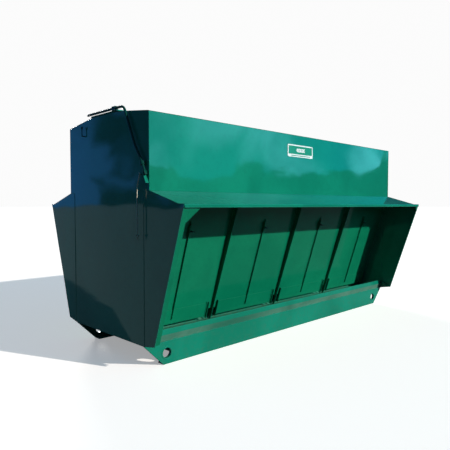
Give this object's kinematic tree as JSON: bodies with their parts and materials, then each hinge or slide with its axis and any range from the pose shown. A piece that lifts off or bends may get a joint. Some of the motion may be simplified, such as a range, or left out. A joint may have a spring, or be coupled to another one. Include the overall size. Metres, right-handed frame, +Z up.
{
  "type": "skid-mounted gravity grain feeder",
  "caption": "Long double-sided self-filling stock feeder on skids: V hopper under a hinged lid, sliding feed gates and a canopied trough along each side.",
  "frame": {"origin": "on the ground, midway between the skids' ends and sides", "axes": "+X along the feeder away from the lever end, -Y the front side with the nameplate, +Z up"},
  "size_m": [4.573, 2.48, 2.469],
  "materials": {
    "green_paint": "gloss enamel on folded sheet and welded plate",
    "zinc_plated": "bright zinc",
    "white_enamel": "gloss enamel",
    "rope": "twisted fibre"
  },
  "bodies": {
    "feeder": {"end_sheet_left": "green_paint", "end_sheet_right": "green_paint", "wing_left_front": "green_paint", "wing_left_rear": "green_paint", "wing_right_front": "green_paint", "wing_right_rear": "green_paint", "side_front": "green_paint", "side_rear": "green_paint", "canopy_front": "green_paint", "canopy_rear": "green_paint", "hopper_wall_front": "green_paint", "hopper_wall_rear": "green_paint", "roof_front": "green_paint", "roof_rear": "green_paint", "skid_front": "green_paint", "skid_rear": "green_paint", "runner_feet": "green_paint", "tow_sleeves": "green_paint", "cross_members": "green_paint", "trough_floor": "green_paint", "trough_board_front": "green_paint", "trough_board_rear": "green_paint", "trough_stays": "green_paint", "deflector": "green_paint", "webs_front": "green_paint", "webs_rear": "green_paint", "opening_frame_left": "green_paint", "opening_frame_right": "green_paint", "tie_bars": "green_paint", "gate_guides_front": "green_paint", "gate_guides_rear": "green_paint", "bar_straps_front": "green_paint", "bar_straps_rear": "green_paint", "clamp_bolts_front": "zinc_plated", "clamp_bolts_rear": "zinc_plated", "hinge_bases": "green_paint", "hinge_pins": "zinc_plated", "open_catch": "green_paint", "nameplate": "white_enamel", "nameplate_panel": "green_paint", "nameplate_rivets": "zinc_plated"},
    "gate_f1": {"gate_f1": "green_paint"},
    "gate_f2": {"gate_f2": "green_paint"},
    "gate_f3": {"gate_f3": "green_paint"},
    "gate_f4": {"gate_f4": "green_paint"},
    "gate_r1": {"gate_r1": "green_paint"},
    "gate_r2": {"gate_r2": "green_paint"},
    "gate_r3": {"gate_r3": "green_paint"},
    "gate_r4": {"gate_r4": "green_paint"},
    "lid": {"lid": "green_paint", "lid_stiffeners": "green_paint", "hinge_knuckles": "green_paint", "lever": "green_paint", "lever_clips": "zinc_plated", "lever_collar": "green_paint", "lever_paddle": "green_paint", "cord_arm": "green_paint"},
    "cord": {"cord_thimble": "zinc_plated", "cord": "rope", "cord_knot": "rope"}
  },
  "joints": [
    {"name": "gate_f1_slide", "type": "slide", "parent": "feeder", "child": "gate_f1", "axis": [0, -0.3028, 0.9531], "range_m": [-0.04, 0.08]},
    {"name": "gate_f2_slide", "type": "slide", "parent": "feeder", "child": "gate_f2", "axis": [0, -0.3028, 0.9531], "range_m": [-0.04, 0.08]},
    {"name": "gate_f3_slide", "type": "slide", "parent": "feeder", "child": "gate_f3", "axis": [0, -0.3028, 0.9531], "range_m": [-0.04, 0.08]},
    {"name": "gate_f4_slide", "type": "slide", "parent": "feeder", "child": "gate_f4", "axis": [0, -0.3028, 0.9531], "range_m": [-0.04, 0.08]},
    {"name": "gate_r1_slide", "type": "slide", "parent": "feeder", "child": "gate_r1", "axis": [0, 0.3028, 0.9531], "range_m": [-0.04, 0.08]},
    {"name": "gate_r2_slide", "type": "slide", "parent": "feeder", "child": "gate_r2", "axis": [0, 0.3028, 0.9531], "range_m": [-0.04, 0.08]},
    {"name": "gate_r3_slide", "type": "slide", "parent": "feeder", "child": "gate_r3", "axis": [0, 0.3028, 0.9531], "range_m": [-0.04, 0.08]},
    {"name": "gate_r4_slide", "type": "slide", "parent": "feeder", "child": "gate_r4", "axis": [0, 0.3028, 0.9531], "range_m": [-0.04, 0.08]},
    {"name": "lid_hinge", "type": "hinge", "parent": "feeder", "child": "lid", "pos_m": [0, -0.272, 2.452], "axis": [1, 0, 0], "range_deg": [0, 108.8]},
    {"name": "cord_swing", "type": "hinge", "parent": "lid", "child": "cord", "pos_m": [-2.298, -0.664, 1.8], "axis": [1, 0, 0], "range_deg": [-115, 5]}
  ],
  "couplings": [
    {"joint": "cord_swing", "follows": "lid_hinge", "ratio": -1}
  ]
}
